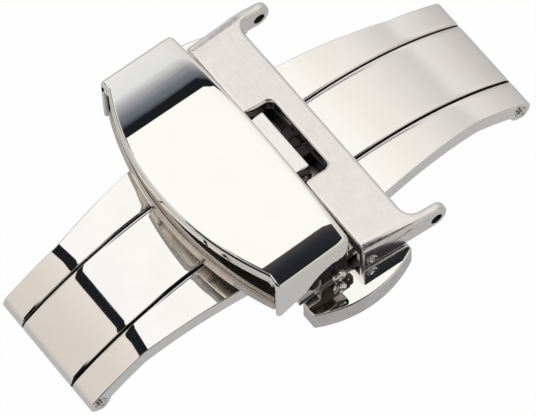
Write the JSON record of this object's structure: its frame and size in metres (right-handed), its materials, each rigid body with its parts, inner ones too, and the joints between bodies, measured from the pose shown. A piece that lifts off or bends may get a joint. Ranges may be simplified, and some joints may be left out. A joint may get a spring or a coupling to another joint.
{
  "type": "butterfly deployant watch clasp",
  "caption": "Closed double-button butterfly watch clasp: slotted curved wings, crowned strap cover, lug bracket and half-moon release caps.",
  "frame": {"origin": "centre of the clasp's base, on the plane that the two end knuckles stand on", "axes": "+X along the strap from the cover side to the lug side, +Y across the strap, +Z away from the wrist"},
  "size_m": [0.0376, 0.0232, 0.0126],
  "materials": {
    "cover_polish": "mirror polished stainless steel",
    "wing_polish": "mirror polished stainless steel, softer towards the lug side",
    "bracket_satin": "softly polished stainless steel",
    "cap_polish": "mirror polished stainless steel",
    "carrier_steel": "polished edges with a fine satin face",
    "pin_steel": "turned and polished stainless steel",
    "inner_steel": "stamped steel with light machining marks",
    "spring_wire": "drawn spring wire"
  },
  "bodies": {
    "bridge": {"bridge_blade": "wing_polish", "lock_housing": "inner_steel", "housing_rivets": "pin_steel", "left_hinge_pin": "pin_steel", "right_hinge_pin": "pin_steel", "front_spring_left": "spring_wire", "front_spring_right": "spring_wire", "rear_spring_left": "spring_wire", "rear_spring_right": "spring_wire"},
    "left_wing": {"left_arm": "wing_polish", "left_catch": "inner_steel", "left_cross_pin": "pin_steel", "strap_carrier": "carrier_steel", "carrier_liner": "carrier_steel", "strap_peg": "pin_steel", "cover_hinge_pin": "pin_steel"},
    "right_wing": {"right_arm": "wing_polish", "right_catch": "inner_steel", "right_cross_pins": "pin_steel", "lug_bracket": "bracket_satin"},
    "cover": {"cover_plate": "cover_polish"},
    "front_button": {"front_button_cap": "cap_polish", "front_latch_slide": "inner_steel"},
    "rear_button": {"rear_button_cap": "cap_polish", "rear_latch_slide": "inner_steel"}
  },
  "joints": [
    {"name": "left_wing_hinge", "type": "hinge", "parent": "bridge", "child": "left_wing", "pos_m": [-0.018, 0, 0.00085], "axis": [0, -1, 0], "range_deg": [0, 165]},
    {"name": "right_wing_hinge", "type": "hinge", "parent": "bridge", "child": "right_wing", "pos_m": [0.018, 0, 0.00085], "axis": [0, 1, 0], "range_deg": [0, 165]},
    {"name": "cover_hinge", "type": "hinge", "parent": "left_wing", "child": "cover", "pos_m": [0.00095, 0, 0.00776], "axis": [0, 1, 0], "range_deg": [0, 80]},
    {"name": "front_button_push", "type": "slide", "parent": "bridge", "child": "front_button", "axis": [0, 1, 0], "range_m": [0, 0.00075], "stiffness_N_per_m": 400, "deforming": ["front_spring_left", "front_spring_right"]},
    {"name": "rear_button_push", "type": "slide", "parent": "bridge", "child": "rear_button", "axis": [0, -1, 0], "range_m": [0, 0.00075], "stiffness_N_per_m": 400, "deforming": ["rear_spring_left", "rear_spring_right"]}
  ]
}
